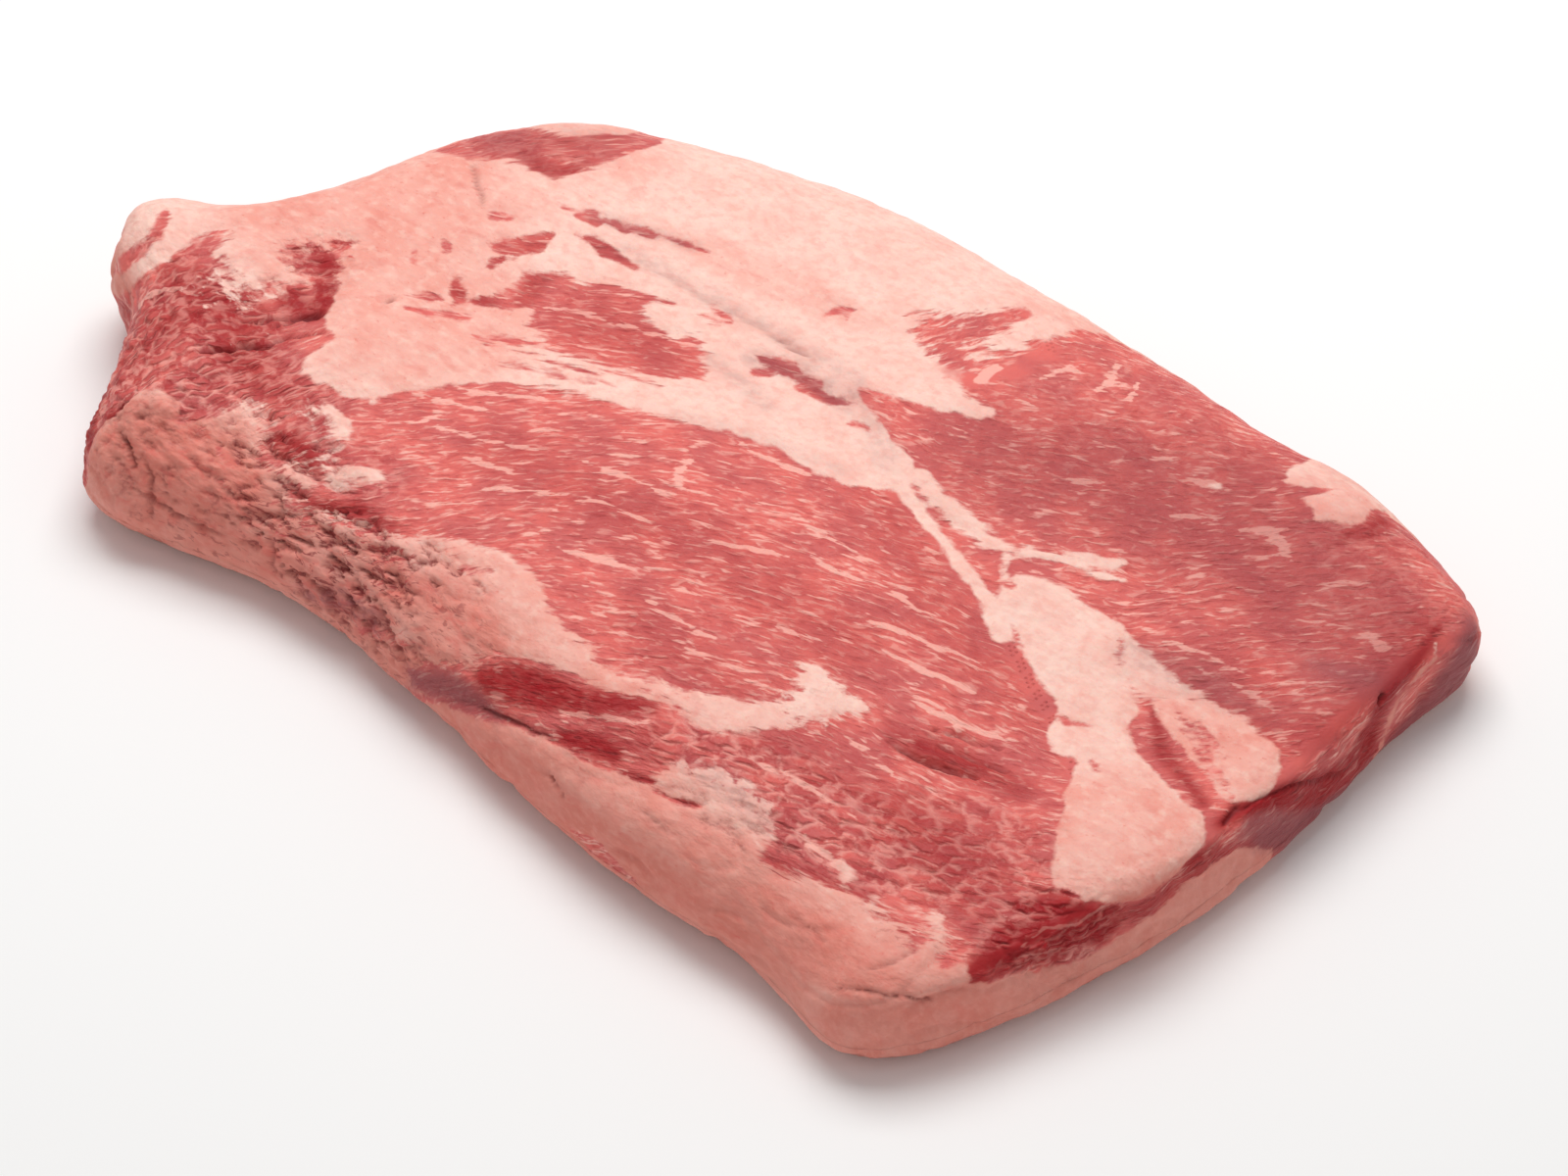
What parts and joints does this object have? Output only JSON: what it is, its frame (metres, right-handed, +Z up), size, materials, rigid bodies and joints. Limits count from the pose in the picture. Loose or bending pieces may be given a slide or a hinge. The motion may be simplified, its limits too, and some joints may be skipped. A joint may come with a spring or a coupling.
{
  "type": "raw beef brisket",
  "caption": "Whole boneless raw beef brisket lying on its fat cap, lean side up, thick at the point end and thin at the flat end, with fat-filled seams.",
  "frame": {"origin": "on the table, under the middle of the brisket's bounding box", "axes": "+X along the grain from the thick point end to the thin flat end, +Z up from the fat cap to the lean side"},
  "size_m": [0.4824, 0.3111, 0.0548],
  "materials": {
    "lean": "moist raw muscle, satin",
    "fat": "cool raw fat, satin"
  },
  "bodies": {
    "root": {"lean_meat": "lean", "fat_cap": "fat"}
  },
  "joints": []
}
